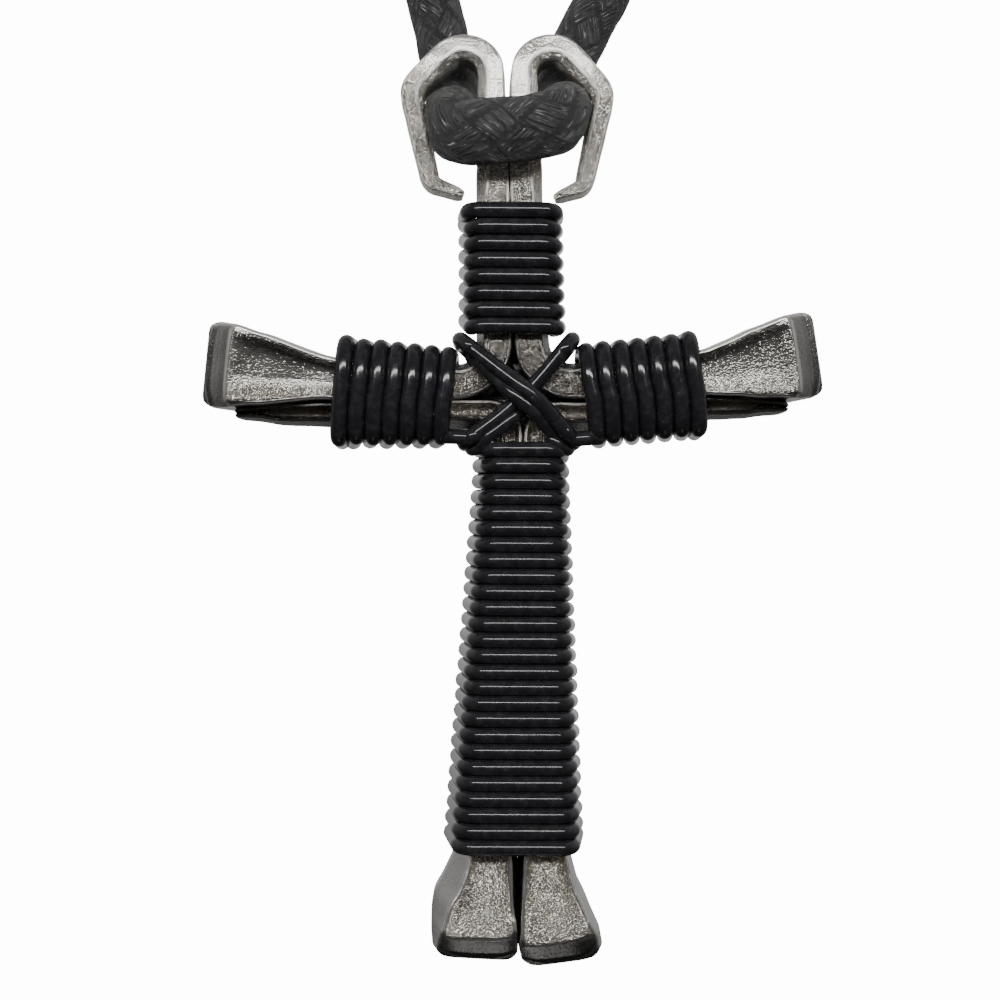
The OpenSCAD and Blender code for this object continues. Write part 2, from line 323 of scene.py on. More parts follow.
# %% [markdown]
# ## The knot at the nape
#
# The ends of the cord meet in a plain wound knot behind the neck, which the photo doesn't show. A wound knot
# is a short barrel of turns lying side by side, so it is a circle turned round the cord's line, whose radius
# rises and falls with each turn.

# %% The knot
KNOT_LENGTH = 9
KNOT_RADIUS = 3.8
KNOT_TURNS = 3
KNOT_GROOVE = 0.9
KNOT_PLACE = (12, 170)


def knot_rings():
    """The radius is the barrel's, less a groove between turns, and the rounded ends fall to the line. The
    turns lean: the groove's place moves along by one turn as the angle goes round. Returns the points, how
    many turns lie before each, and the angles."""
    t = np.linspace(0, math.pi, 72)
    along = -KNOT_LENGTH / 2 * np.cos(t)
    end = np.sin(t) ** 0.35
    angle = np.arange(64) / 64 * 2 * math.pi
    turns = KNOT_TURNS * (along[:, None] / KNOT_LENGTH + 0.5) + angle[None, :] / (2 * math.pi)
    groove = 1 - np.sqrt(np.clip(1 - (2 * (turns % 1) - 1) ** 2, 0, 1))
    radius = end[:, None] * (KNOT_RADIUS - KNOT_GROOVE * groove)
    x = np.broadcast_to(along[:, None], radius.shape)
    y = KNOT_PLACE[0] - radius * np.cos(angle)
    z = KNOT_PLACE[1] + radius * np.sin(angle)
    return np.stack([x, y, z], axis=-1), turns, angle


knot_points, knot_turns, angle = knot_rings()
knot_mesh = ring_mesh("knot_wound", in_frame(knot_points))
carry_fibre(knot_mesh, knot_turns, np.broadcast_to(angle / 2, knot_turns.shape), np.floor(knot_turns))
knot = place("knot_wound", knot_mesh, ["neck_knot"])
print("faces outwards:", outward(knot_mesh))

# %% [markdown]
# ## The nails
#
# A horseshoe nail is forged from one bar: a broad head with a dished face and raised rims, a shank that
# narrows all the way, and one bevelled side. The four share one shank and one point. Their heads come in
# three slightly different shapes, as forged ones do. The rest is in their routes, as when a maker bends four
# nails of one box.

# %% The nail's sizes
# Each row is the distance from the head's end, the width, the depth and the bevel. The point's distances are
# from the tip.
HEAD = np.array([
    [0, 6.7, 2.8, 0.2], [0.75, 7.1, 4.2, 0.3], [2.0, 7.1, 5.8, 0.3], [2.8, 6.85, 5.8, 0.3],
    [4, 6.35, 5.6, 0.3], [5.5, 5.8, 5.4, 0.3], [7.3, 4.9, 5.1, 0.3], [9.6, 3.85, 4.9, 0.3],
    [12, 3.6, 4.7, 0.3]])
SLIM_HEAD = np.array([
    [0, 6.4, 2.8, 0.2], [0.75, 6.85, 4.2, 0.3], [2.0, 6.9, 5.8, 0.3], [2.5, 6.6, 5.8, 0.3],
    [4.2, 5.7, 5.6, 0.3], [5.9, 4.87, 5.4, 0.3], [7.6, 4.3, 5.1, 0.3], [9.6, 3.7, 4.9, 0.3],
    [12, 3.6, 4.7, 0.3]])
TURNED_HEAD = np.array([
    [0, 6.6, 2.8, 0.2], [0.75, 7.1, 4.2, 0.4], [2.0, 7.2, 5.8, 0.8], [4.4, 7.0, 5.6, 1.5],
    [5.6, 6.25, 5.4, 1.6], [7.3, 5.35, 5.2, 1.4], [8.6, 4.8, 5.0, 1.1], [9.6, 4.1, 4.9, 0.9],
    [12, 3.7, 4.7, 0.8]])
SHANK = np.array([
    [21, 3.05, 4.4, 0.7], [27, 2.9, 4.2, 0.7], [40, 2.7, 3.9, 0.7], [47, 2.3, 3.4, 0.7],
    [54, 2.1, 3.0, 0.7]])
POINT = np.array([
    [8, 1.8, 2.9, 0.4], [3.5, 1.58, 2.5, 0.3], [2, 1.15, 2.3, 0.3], [0.5, 0.9, 2.1, 0.2],
    [0, 0.55, 1.6, 0.1]])

# %% The nails' routes
# Each nail has the side of its route on which the bevelled edge lies, its head, and the route from the head's
# end: x, z and the radius of the bend there.
NAILS = {
    "upper_left": (1, HEAD, [
        [-25.4, 2.25, 0], [-14.4, 0.85, 6], [-4.8, 0.64, 4], [-1.55, 0.6, 3.1], [-1.7, 18.6, 6],
        [-1.85, 23.2, 4], [-1.85, 28.4, 2.2], [-5, 28.4, 1.7], [-8.5, 24.9, 1.4], [-6.8, 17.25, 0.9],
        [-4.1, 16.25, 0]]),
    "upper_right": (-1, HEAD, [
        [25.2, 3.1, 0], [16.4, 1.48, 6], [6.5, 0.74, 4], [1.72, 0.7, 3.2], [1.1, 17.1, 6], [0.95, 23.6, 4],
        [0.95, 28.4, 2.2], [4.1, 28.4, 1.7], [7.55, 24.6, 1.4], [5.87, 16.95, 0.9], [3.45, 16, 0]]),
    "lower_left": (1, TURNED_HEAD, [
        [-3.15, -47.1, 0], [-3.3, -43, 4], [-2.25, -38, 8], [-0.42, -2.1, 1.5], [-4.8, -2.1, 4],
        [-14.8, -2.12, 6], [-23.1, -2.04, 0]]),
    "lower_right": (-1, SLIM_HEAD, [
        [4.25, -47.4, 0], [3.1, -41.5, 6], [2.72, -37.5, 8], [2.12, -2.3, 1.5], [6.3, -2.3, 4],
        [16.4, -1.56, 6], [22.9, -1.52, 0]]),
}
print("nails:", ", ".join(NAILS))

# %% [markdown]
# A nail bends on an arc, never at a corner. Each corner of the route is replaced by the arc of the given
# radius that touches both of its sides, which is what bending round a peg does.

# %% Rounded corners
BEND_STEPS = 14
NEARLY_STRAIGHT = 0.02


def bend(a, b, c, radius):
    """The arc that rounds corner b starts radius / tan(half the opening) before it. Its centre lies on the
    line that halves the corner, radius / sin(half the opening) away."""
    into = unit(a - b)
    out = unit(c - b)
    opening = math.acos(np.clip(into @ out, -1, 1))
    if math.pi - opening < NEARLY_STRAIGHT:
        return b[None, :]
    centre = b + unit(into + out) * radius / math.sin(opening / 2)
    start = b + into * radius / math.tan(opening / 2) - centre
    side = np.sign(into[0] * out[1] - into[1] * out[0])
    t = -side * np.linspace(0, math.pi - opening, BEND_STEPS)
    x = start[0] * np.cos(t) - start[1] * np.sin(t)
    z = start[0] * np.sin(t) + start[1] * np.cos(t)
    return centre + np.stack([x, z], axis=-1)


def rounded(route):
    """The route with every inner corner bent."""
    p = np.asarray(route, float)
    arcs = [bend(p[i - 1, :2], p[i, :2], p[i + 1, :2], p[i, 2]) for i in range(1, len(p) - 1)]
    return np.concatenate([p[:1, :2], *arcs, p[-1:, :2]])


# %% [markdown]
# The section across a nail is a rectangle with its front inner edge cut back by the bevel. Forging leaves no
# sharp edges, so every corner is a small curve, and the side away from the bevel flares out to the back.

# %% The section of a nail
# How many points lie on each corner's curve, and on each straight edge. The last edge is the front face.
CORNER_STEPS = 5
EDGE_STEPS = [6, 5, 6, 5, 22]


def nail_section(width, depth, bevel, cut, round_off, flare):
    """The bevel is that far across and cut that far back, and flare is how much wider the back is than the
    front. There are five corners, each a curve between points round_off from it along its two edges: (1 - t)
    squared times the first, 2t(1 - t) times the corner, t squared times the second. Points on the straight
    edges lie between them. Returns the points as x and y, each one's share across the front face, and how
    much it lies on one of the front's two edges."""
    w = width / 2
    d = depth / 2
    corners = np.stack([
        np.stack([w - bevel, -d], axis=-1), np.stack([w, cut - d], axis=-1), np.stack([w, d], axis=-1),
        np.stack([-w - flare, d], axis=-1), np.stack([-w, -d], axis=-1)], axis=1)
    before = np.roll(corners, 1, axis=1) - corners
    after = np.roll(corners, -1, axis=1) - corners
    reach_back = np.minimum(round_off[:, None, None], 0.4 * np.linalg.norm(before, axis=-1, keepdims=True))
    reach_on = np.minimum(round_off[:, None, None], 0.4 * np.linalg.norm(after, axis=-1, keepdims=True))
    first = corners + unit(before) * reach_back
    last = corners + unit(after) * reach_on
    points = []
    shares = []
    edge_wear_and_highlight = []
    t = np.linspace(0, 1, CORNER_STEPS)[None, :, None]
    for k, steps in enumerate(EDGE_STEPS):
        corner = corners[:, k, None]
        curve = (1 - t) ** 2 * first[:, k, None] + 2 * t * (1 - t) * corner + t ** 2 * last[:, k, None]
        following = first[:, (k + 1) % 5, None]
        u = (np.arange(1, steps + 1) / (steps + 1))[None, :, None]
        edge = last[:, k, None] * (1 - u) + following * u
        points += [curve, edge]
        front = u[0, :, 0] if k == 4 else np.full(steps, -1.0)
        shares += [np.full(CORNER_STEPS, -1.0), front]
        # The front's edges are marked for a lighter colour, partly wear and partly a painted highlight.
        edge_wear_and_highlight += [np.sin(math.pi * (0.1 + 0.8 * t[0, :, 0])) ** 2 * (k in (0, 4)), np.zeros(steps)]
    return np.concatenate(points, axis=1), np.concatenate(shares), np.concatenate(edge_wear_and_highlight)


def waves(at, seed, size):
    """A slow random wave: half the sum of four sines with random starts and heights up to the size."""
    rng = np.random.default_rng(seed)
    total = np.zeros_like(at)
    for length in (2.3, 3.7, 6.1, 9.7):
        total += np.sin(2 * math.pi * (at / length + rng.random())) * size * (0.4 + 0.6 * rng.random())
    return total / 2


print("the section has", 5 * CORNER_STEPS + sum(EDGE_STEPS), "points")

# %% [markdown]
# The nail itself is its section carried along the bent route. Rings are close together on the head, where the
# face is dished, and 0.2 mm apart on the shank. The head's end is worked on in three ways, each a smooth
# function of the distance from the end and of the place across: a bevel that starts sooner at the corners and
# ends in a narrow lip, a dish sunk into the face, and rounded corners. The faces of the two upper heads lean
# a little to one side, and the tops of their loops lie back, which sets how bright each one shines.
#
# Four values go with the points for the material: polish, where the loops are worn smooth; edge, along the
# front's edges, a lighter colour that is partly wear and partly a painted highlight; a painted shade with
# some dirt, round the crossing and on the hidden tips; and a value for steel without dark scale, which across
# the heads also holds a painted light and shade.

# %% Shape the head
CORNER_CUT = {
    "upper_left": (0.5, 0.6), "upper_right": (0.5, 0.6), "lower_left": (1.5, 0.6), "lower_right": (1.9, 0.7)}
BEVEL_AT = [-2, 0, 0.12, 0.6, 1.9, 2.12, 2.25]
BEVEL_DEPTH = [2.0, 1.75, 1.5, 1.36, 0.46, 0.06, 0]
FACE_AT = [2.1, 3.6, 8, 12, 16]
FACE_DEPTH = {"upper": (0, 0.36, 0.46, 0.4, 0), "lower": (0, 0.25, 1.0, 1.4, 1.0)}
END_SHEAR = {"upper_left": 0.0, "upper_right": 0.0, "lower_left": 0.09, "lower_right": -0.06}
END_RADIUS = {"upper_left": 0.5, "upper_right": 0.5, "lower_left": 0.8, "lower_right": 0.95}


def shape_head(section, share, stations, width, depth, name):
    """Moves the head's points back or forward. The bevel is found from the distance to the end less the
    corner's cut, which grows with the fourth power of the place across. The dish is deepest at the middle of
    the face and falls to nothing at its sides, with the fourth power too."""
    side, other = CORNER_CUT[name]
    across = section[..., 0] / (width[:, None] / 2)
    cut = np.where(across > 0, side, other) * np.clip(np.abs(across), 0, 1) ** 4
    from_end = stations[:, None] - cut
    bevel = np.interp(from_end, BEVEL_AT, BEVEL_DEPTH)
    middle = np.where(share < 0, 0, 1 - np.abs(2 * share - 1) ** 4)
    sunk = np.interp(from_end, FACE_AT, FACE_DEPTH[name.split("_")[0]]) * middle[None, :]
    front = np.clip(-section[..., 1] / (depth[:, None] / 2), 0, 1)
    back = np.clip(section[..., 1] / (depth[:, None] / 2), 0, 1)
    return section[..., 1] + (bevel + sunk) * front - bevel * back


def smoothed(values, at, start):
    """Each value becomes the weighted mean of itself and four on each side, from start on."""
    kernel = np.hanning(9)
    kernel /= kernel.sum()
    soft = np.convolve(np.pad(values, 4, mode="edge"), kernel, mode="valid")
    return np.where(at > start, soft, values)


print("a head's bevel starts sooner at its corners by", CORNER_CUT, "mm")

# %% The nail along its length
def ring_stations(total):
    """The distances from the head's end at which there is a ring: closest on the head and at the tip."""
    return np.unique(np.round(np.concatenate([
        np.arange(0, 1, 0.06), np.arange(1, 4, 0.1), np.arange(4, 11, 0.16), np.arange(11, total - 4, 0.22),
        np.arange(total - 4, total, 0.12), [total]]), 4))


def nail_sizes(head, total, stations, radius, seed):
    """Width, depth and bevel are read between the rows and smoothed, and the width gets a slow wave. The
    head's end is rounded: the width loses what a quarter circle of that radius leaves out on both sides."""
    tail = POINT.copy()
    tail[:, 0] = total - tail[:, 0]
    rows = np.concatenate([head, SHANK, tail])
    rows[:2, 2] = rows[2, 2]
    width, depth, bevel = (
        smoothed(np.interp(stations, rows[:, 0], rows[:, k]), stations, 0.7) for k in (1, 2, 3))
    width = width + waves(stations, seed, 0.05) * np.clip(stations / 2, 0, 1)
    width = width - 2 * (radius - np.sqrt(radius ** 2 - np.clip(radius - stations, 0, radius) ** 2))
    return width, depth, bevel


def nail_line(line, stations):
    """The line's x and z at each station, smoothed past the head's end, and the way along it."""
    at = lengths_along(line)
    x, z = (smoothed(np.interp(stations, at, line[:, k]), stations, 1) for k in (0, 1))
    return x, z, unit(np.gradient(np.stack([x, z], axis=-1), stations, axis=0))


print("rings on a nail of 67 mm:", len(ring_stations(67)))

# %% Lay the faces back
FACE_LEAN = {"upper_left": 0.13, "upper_right": 0.15}
LOOP_SLOPE_AT = [16.3, 18.8, 21, 24, 27.4, 29.8]
LOOP_SLOPE = [0, 0.2, 0.2, 0.2, 0.3, 0.85]


def lay_back_upper(section, stations, loop, height_of, depth, name):
    """The head's front points come forward by the lean times the place across. The loop's front points go
    back by a slope that grows with their height over the crossing."""
    lean = FACE_LEAN[name] * np.interp(stations, [10, 16], [1, 0])
    section[..., 1] -= lean[:, None] * section[..., 0] * (section[..., 1] < 0)
    sloped = np.interp(height_of, LOOP_SLOPE_AT, LOOP_SLOPE)
    section[..., 1] += sloped * loop[:, None] * np.clip(0.5 - section[..., 1] / depth[:, None], 0, 1)


def turn_lower_tip(section, stations, width):
    """The tip under an arm turns its front to one side: points go back by 0.6 of the place across."""
    tilt = np.interp(stations, [44, 50], [0, 0.6])
    section[..., 1] += tilt[:, None] * (section[..., 0] + width[:, None] / 2)


print("the upper faces lean by", FACE_LEAN)

# %% The values for the material
FACE_SHARE = [0, 0.15, 0.38, 0.85, 1]
# A painted light and shade across each head's face, by its share across: darker in the middle of the arms'
# faces and lighter at their edges, for how the light falls.
FACE_PAINTED_LIGHT = {
    "upper_left": (0.9, 1, 0.18, 0.12, 0.6), "upper_right": (0.8, 0.7, 0.28, 0.25, 0.5),
    "lower_left": (1, 1, 0.85, 1, 1), "lower_right": (1, 1, 0.9, 1, 1)}
# Where the painted shade round the crossing, with some dirt, is darkest, and how far it reaches.
GRIME_AND_SHADE_MIDDLE = (0.8, -0.4)
GRIME_AND_SHADE_REACH = 6.2


def nail_marks(rings, stations, share, edge, loop, name):
    """Polish covers the loop. The painted shade round the crossing is 1 / e to the fourth power of (distance
    from the crossing / reach), with some dirt, and also darkens the hidden tips as painted shade. Edge also
    follows the rim where the bevel meets the face, as a painted highlight. The last value, for steel without
    scale, holds the face's painted light and shade across the head, is 1 on the loop, and at least 0.55 on
    the shank."""
    upper = name.startswith("upper")
    front = (share >= 0).astype(float)
    polish = np.interp(stations, [42, 44.5, 54.5, 56, 58], [0, 1, 1, 0.5, 0.1]) * upper
    away = np.hypot(rings[..., 0] - GRIME_AND_SHADE_MIDDLE[0], rings[..., 2] - GRIME_AND_SHADE_MIDDLE[1])
    # A painted shade round the crossing, where the wires keep the light off, with some dirt.
    grime_and_shade = 0.85 * np.exp(-(away / GRIME_AND_SHADE_REACH) ** 4) * np.interp(rings[..., 2], [-3, -1.5], [0.3, 1])
    # The hidden tips under the arms are painted dark: a painted shade for the heads above them.
    grime_and_shade = np.maximum(grime_and_shade, np.interp(stations, [54, 57], [0, 1])[:, None] * (not upper))
    # A painted highlight along the rim where the bevel meets the face.
    painted_rim_highlight = np.exp(-((stations - 2.05) / 0.16) ** 2)[:, None]
    # The face's painted light and shade across the head.
    face_light = np.interp(share, FACE_SHARE, FACE_PAINTED_LIGHT[name])[None, :]
    face_light = face_light + (1 - face_light) * np.interp(stations, [11, 14], [0, 1])[:, None]
    bare_and_lit = np.maximum(front * face_light * np.interp(stations, [2.1, 2.3], [0, 1])[:, None], loop[:, None])
    bare_and_lit = np.maximum(bare_and_lit, np.interp(stations, [12, 16], [0, 0.55])[:, None])
    marks = {"polish": polish[:, None], "edge": edge + painted_rim_highlight * front, "grime_and_shade": grime_and_shade, "bare_and_lit": bare_and_lit}
    return {key: np.broadcast_to(value, grime_and_shade.shape) for key, value in marks.items()}


print("each nail carries polish, edge, grime and bare")

# %% Make a nail
def make_nail(name, seed):
    """The section at each station is laid square to the line: x and z are the line's, plus the section's x
    along the side, and y is the section's own."""
    inner, head, route = NAILS[name]
    upper = name.startswith("upper")
    line = rounded(route)
    total = lengths_along(line)[-1]
    stations = ring_stations(total)
    width, depth, bevel = nail_sizes(head, total, stations, END_RADIUS[name], seed)
    x, z, way = nail_line(line, stations)
    side = inner * np.stack([-way[:, 1], way[:, 0]], axis=-1)
    loop = np.interp(stations, [37.5, 39.5], [0, 1]) * upper
    round_off = np.interp(stations, [0, 3, 10, 20, 60], [0.3, 0.28, 0.28, 0.26, 0.22])
    flare = np.interp(stations, [2, 5, 14, 44, 48], [0.1, 0.5, 0.4, 0.3, 0.35]) * (1 - 0.7 * loop)
    cut = 0.55 * depth * (1 - loop) + 0.62 * loop
    bevel = bevel + 0.22 * loop * np.clip(width - 1.6, 0, 1)
    section, share, edge = nail_section(width, depth, bevel, cut, round_off, flare)
    section[..., 1] = shape_head(section, share, stations, width, depth, name)
    section[..., 1] += waves(stations, seed + 9, 0.035)[:, None] * (share >= 0)[None, :]
    if upper:
        height_of = z[:, None] + side[:, None, 1] * section[..., 0]
        lay_back_upper(section, stations, loop, height_of, depth, name)
    else:
        turn_lower_tip(section, stations, width)
    shear = END_SHEAR[name] * np.interp(stations, [0, 6], [1, 0])[:, None] * section[..., 0]
    rings = np.stack([
        x[:, None] + side[:, None, 0] * section[..., 0] + way[:, None, 0] * shear,
        section[..., 1],
        z[:, None] + side[:, None, 1] * section[..., 0] + way[:, None, 1] * shear], axis=-1)
    marks = nail_marks(rings, stations, share, edge, loop, name)
    order = slice(None, None, -1 if inner > 0 else 1)
    mesh = ring_mesh("nail_" + name, in_frame(rings[:, order]), sharp=60)
    for key, value in marks.items():
        value = value[:, order]
        value = np.concatenate([value.ravel(), [value[0, 0], value[-1, 0]]])
        mesh.attributes.new(key, "FLOAT", "POINT").data.foreach_set("value", value)
    print("nail", name, "is", round(total, 1), "mm long; faces outwards:", outward(mesh))
    return place("forged_nail_" + name, mesh, ["nail_" + name])


nails = [make_nail(name, 11 * i + 3) for i, name in enumerate(NAILS)]

# %% [markdown]
# ## The wire wraps
#
# Enamelled wire is wound tightly round each limb, turn against turn. A helix round a round bar has a simple
# formula, but these limbs are rectangles: the wire lies straight on each face and bends at the corners. So a
# turn is four arcs, and the place along the limb grows a little with each, mostly behind, which keeps the
# front of every turn level.

# %% The line of a wrap
# The wire leans over the front of each turn by a share of the pitch. The ends give, at the first and the last
# turn, the place along the limb and its low side, its high side and its front.
WIRE = 1.27
WIRE_GAP = 0.08
ARC_STEPS = 9
LIMBS = {
    "upper": dict(
        turns=8, lean=0.04, width=1.36, bends=(1.0, 1.15), insets=(0.85, 0.45), sides=(0.75, -0.35),
        ends=[[14.47, -3.28, 2.85, 2.02], [5.02, -3.28, 3.12, 2.11]]),
    "lower": dict(
        turns=26, lean=0.02, width=1.32, bends=(1.15, 1.15), insets=(1.1, 0.75), sides=(0.02, 0.35),
        ends=[[-5.06, -2, 3.4, 1.98], [-37.38, -4.56, 4.67, 2.5]]),
    "left_arm": dict(
        turns=7, lean=0.43, width=1.4, bends=(2.8, 1.4), insets=(0.35, 0.35), sides=(0.75, 0.1),
        ends=[[-14.29, -3.43, 3.1, 2.4], [-5.9, -3.43, 2.27, 2.25]]),
    "right_arm": dict(
        turns=7, lean=0.6, width=1.4, bends=(2.8, 1.4), insets=(0.35, 0.35), sides=(0.75, 0.1),
        ends=[[15.25, -2.68, 3.5, 2.45], [6.85, -3.42, 2.6, 2.25]]),
}


def one_turn(lean, corner, sides):
    """Rows of: which side (-1 low, 1 high), which face (-1 front, 1 back), the arc's angle, and the share of
    the pitch gained by then. The lean is gained over the front in step with the place across, of which each
    corner takes up that share, so that the wire's front is straight: 1 - cosine, then sine, of the angle. Of
    the rest, the sides give how much is gained on the low and on the high one."""
    rest = 1 - lean
    low, high = sides
    arcs = [
        [-1, -1, 180, 0, lean * corner], [1, -1, 270, lean * (1 - corner), lean + 0.02 * rest],
        [1, 1, 0, lean + high * rest, lean + (high + 0.04) * rest],
        [-1, 1, 90, lean + (0.96 - low) * rest, lean + (1 - low) * rest]]
    rows = []
    for side, face, start, gained, later in arcs:
        t = np.linspace(0, 1, ARC_STEPS)
        quarter = t * math.pi / 2
        eased = t if face > 0 else (1 - np.cos(quarter) if side < 0 else np.sin(quarter))
        rows.append(np.stack([
            np.full(ARC_STEPS, side), np.full(ARC_STEPS, face), np.radians(start + 90 * t),
            gained + (later - gained) * eased], axis=-1))
    return np.concatenate(rows)


def wrap_line(limb, seed):
    """A stiff wire bends wide: each corner is a quarter of an ellipse, bends[0] across by bends[1] deep, and
    its middle lies that far inside the wire's outermost lines. Along the limb the place is the pitch times
    the turns so far. The nails are narrower in front, so the front corners lie further in, by the insets."""
    turns, lean, bends, insets = (limb[key] for key in ("turns", "lean", "bends", "insets"))
    ends = np.asarray(limb["ends"], float)
    turn = one_turn(lean, bends[0] / (2 * (ends[0, 2] + WIRE)), limb["sides"])
    index = np.arange(-ARC_STEPS, (turns - 1) * len(turn) + 3 * ARC_STEPS)
    number = index // len(turn)
    side, face, angle, gained = turn[index % len(turn)].T
    rng = np.random.default_rng(seed)
    slip = rng.normal(0, 0.012, turns + 1)[number]
    last = turns - 0.95 + (lean if lean > 0.1 else 0)
    share = (np.clip(number + gained, -0.1, last) / (turns - 1))[:, None]
    here = ends[0] + (ends[1] - ends[0]) * share
    edge = np.where(side < 0, here[:, 1], here[:, 2])
    inset = np.where(side < 0, insets[0], insets[1]) * np.where(number < 1, 0.6, 1)
    loose = rng.normal(0, 0.02, turns + 1)[number]
    outermost = edge + side * (WIRE / 2 + WIRE_GAP + 0.12 + loose)
    frontmost = here[:, 3] + WIRE / 2 + WIRE_GAP + 0.15
    across = outermost - side * bends[0] + bends[0] * np.cos(angle)
    deep = face * (frontmost - bends[1]) + bends[1] * np.sin(angle)
    across = across - side * inset * (0.5 - 0.5 * deep / frontmost)
    return np.stack([here[:, 0] + slip, across, deep], axis=-1)


print("turns on each limb:", {name: limb["turns"] for name, limb in LIMBS.items()})

# %% [markdown]
# The line is then filled out with points on the straight stretches, and a round section is carried along it.
# The limb's own direction is always nearly square to the wire, so it can serve as the direction across.

# %% Make the wraps
WIRE_ANGLES = np.arange(16) / 16 * 2 * math.pi
WIRE_STEP = 0.26
END_LENGTH = 0.4


def wire_tube(name, line, first, closed=False, width=WIRE):
    """A round tube along the line. On an open line the radius falls to nothing over the end's length, as a
    quarter circle does: the square root of 1 - (1 - distance / length) squared."""
    way, across, beside = directions(line, first, closed)
    scale = np.ones(len(line))
    if not closed:
        at = lengths_along(line)
        edge = np.minimum(at, at[-1] - at)
        scale = np.sqrt(np.clip(1 - (1 - np.clip(edge / END_LENGTH, 0, 1)) ** 2, 0.02, 1))
    rings = tube_rings(line, across, beside, WIRE_ANGLES, width / 2 * scale[:, None, None])
    return ring_mesh(name, in_frame(rings), closed=closed)


def make_wrap(name, seed):
    """The line comes as along the limb, across it and deep. On the upright, along is z. On an arm it is x."""
    arm = name.endswith("arm")
    line = even_line(wrap_line(LIMBS[name], seed), WIRE_STEP)
    line = line[:, [0, 2, 1] if arm else [1, 2, 0]]
    mesh = wire_tube("wire_" + name, line, [1, 0, 0] if arm else [0, 0, 1], width=LIMBS[name]["width"])
    print("wire", name, "is", round(lengths_along(line)[-1]), "mm long; faces outwards:", outward(mesh))
    return place("wound_wire_" + name, mesh, ["wrap_" + name])


wraps = [make_wrap(name, 5 * i + 1) for i, name in enumerate(LIMBS)]

# %% [markdown]
# ## The crossed wires
#
# The same wire crosses over the middle from corner to corner and goes round behind. Each is a closed smooth
# line. The one on top is lifted where it rides over the other. Shorter runs of wire lie beside them, behind
# them and at the lower corners, where the wire goes on to the next limb.

# %% The crossed wires
CROSSING = np.array([1.05, -0.39])
CROSSED_WIDTH = 1.3
STAND_OUT = 2.9
RIDE_OVER = 1.42
TENT_REACH = 5.3
FALLING = [[-4.34, 3.98], [-1.07, 1.35], [2.19, -1.32], [4.97, -4.42]]
RISING = [[4.86, 3.98], [1.83, 0.33], [-0.96, -2.24], [-3.98, -4.45]]


def crossed_line(route, lift):
    """The front stands out evenly, and is lifted like a tent over the crossing: the lift falls evenly to
    nothing at the tent's reach from it, with the ridge rounded. The back is the front turned over, and three
    points at each end lead the line round from one to the other."""
    over = smooth_line(route, 8)[2:-2]
    away = np.sqrt(((over - CROSSING) ** 2).sum(axis=1) + 0.36) - 0.6
    out = STAND_OUT + lift * (1 - np.clip(away / TENT_REACH, 0, 1))
    front = np.stack([over[:, 0], -out, over[:, 1]], axis=-1)
    back = (front * [1, -1, 1])[::-1]
    turn = np.array([0.9 - STAND_OUT, 0, STAND_OUT - 0.9])
    b = np.stack([np.full(3, route[-1][0]), turn, np.full(3, route[-1][1])], axis=-1)
    a = np.stack([np.full(3, route[0][0]), -turn, np.full(3, route[0][1])], axis=-1)
    return smooth_line(np.concatenate([front, b, back, a]), 4, closed=True)


print("the falling wire rides", RIDE_OVER, "mm over the rising one")

# %% The shorter runs
# Each is a few points, x, y and z, of a smooth line.
BEHIND_UPRIGHT = [[0.5, 3.2, 5.6], [0.45, 3.05, 2.5], [0.9, 3.0, -1.5], [0.8, 3.15, -5.6]]
BEHIND_ARMS = [[-6.4, 3.5, -0.9], [-3, 3.3, -0.75], [3, 3.3, -1.0], [7.2, 3.5, -0.9]]
BEHIND_MIDDLE = [[-6.4, 3.5, 0.4], [-3, 3.3, 0.4], [3, 3.3, 0.2], [7.2, 3.5, 0.3]]
LOW_LEFT_TAIL = [[-2.4, -2.2, -4.0], [-3.6, -2.75, -4.1], [-4.8, -2.6, -4.0], [-6.2, -1.6, -3.95]]
LOW_RIGHT_TAIL = [[4.0, -2.0, -4.15], [5.2, -2.7, -4.2], [6.2, -2.6, -4.1], [7.4, -1.6, -4.05]]
SECOND_FALLING = [
    [-3.7, -1.9, 2.9], [-2.5, -2.5, 1.75], [-1.2, -3.2, 0.5], [0.15, -3.9, -0.72], [1.4, -3.85, -1.8],
    [2.75, -3.0, -3.15], [3.6, -2.3, -4.3], [3.8, -1.7, -5.1]]
SECOND_RISING = [
    [1.0, -2.3, -1.5], [0.1, -2.75, -2.35], [-1.1, -2.85, -3.3], [-2.1, -2.8, -4.1], [-2.7, -2.3, -5.0]]
LOW_LEFT_TURN = [[-1.3, -2.5, -4.35], [-2.3, -2.5, -4.75], [-3.1, -1.9, -4.9], [-3.5, -0.9, -5.0]]
LOW_RIGHT_TURN = [[2.9, -2.4, -3.9], [3.6, -2.6, -4.6], [4.3, -1.9, -4.9], [4.6, -0.9, -5.0]]


def make_crossed(name, replaced, loop, runs):
    """The closed wire and its shorter runs as one piece."""
    meshes = [wire_tube(name, loop, [0, 0, 1], closed=True, width=CROSSED_WIDTH)]
    meshes += [wire_tube(name, even_line(smooth_line(run, 12), WIRE_STEP), [0, 1, 0]) for run in runs]
    print(name, "faces outwards:", [outward(mesh) for mesh in meshes])
    return place(name, joined(name, meshes), [replaced])


rising = make_crossed(
    "crossed_wire_rising", "cross_wire_under", crossed_line(RISING, 0),
    [LOW_LEFT_TAIL, BEHIND_ARMS, SECOND_RISING, LOW_LEFT_TURN])
falling = make_crossed(
    "crossed_wire_falling", "cross_wire_over", crossed_line(FALLING, RIDE_OVER),
    [LOW_RIGHT_TAIL, BEHIND_UPRIGHT, BEHIND_MIDDLE, SECOND_FALLING, LOW_RIGHT_TURN])
crossed = [rising, falling]

# %% [markdown]
# ## Finishes
#
# A finish is a small graph of shader nodes. Written as nodes and links it is long and hard to read, so a
# class wraps a socket and lets Python's own operators add the Math nodes: mask * 0.3 + 0.1 is two nodes.

